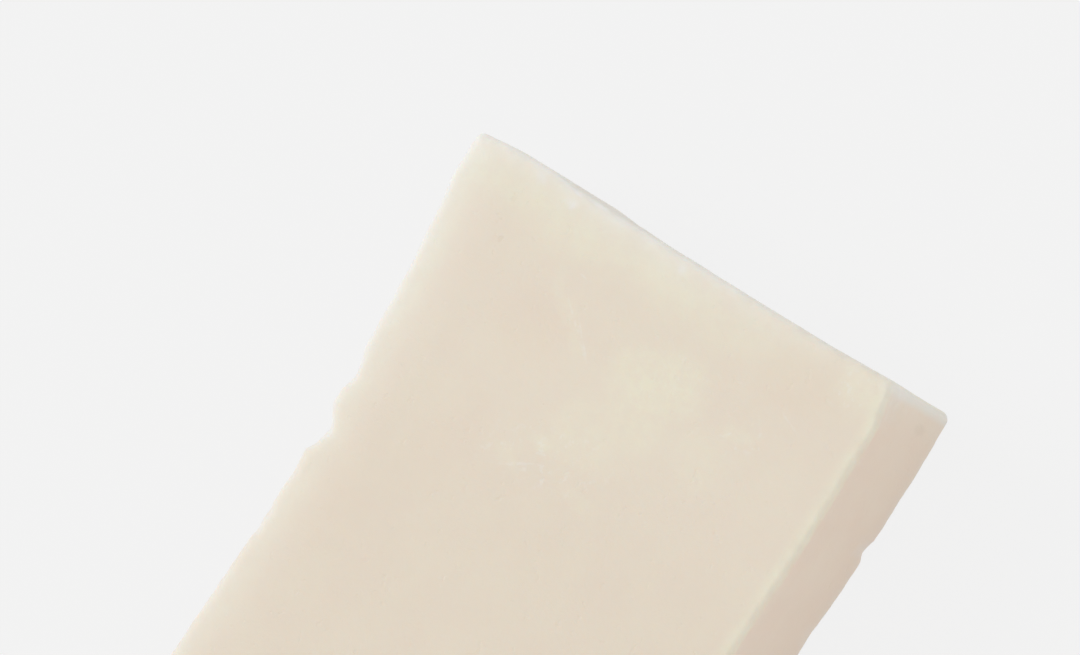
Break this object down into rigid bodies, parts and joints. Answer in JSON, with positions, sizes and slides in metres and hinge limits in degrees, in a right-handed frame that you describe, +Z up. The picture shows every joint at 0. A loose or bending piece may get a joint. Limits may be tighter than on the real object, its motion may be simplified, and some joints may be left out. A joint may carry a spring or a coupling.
{
  "type": "bar of soap",
  "caption": "Hand-cut block of pale cream soap, slightly bowed, with softened edges, a chipped rim and plain faces.",
  "frame": {"origin": "middle of the bar's box in plan, on the surface that the bar lies on", "axes": "+X along the bar's length, towards its skewed end; +Y across its width, towards the side with the chipped rim; +Z up out of the large face"},
  "size_m": [0.09, 0.0636, 0.025],
  "materials": {
    "soap": "smooth cut soap, waxy satin with paler worn rims"
  },
  "bodies": {
    "root": {"soap_bar": "soap"}
  },
  "joints": []
}
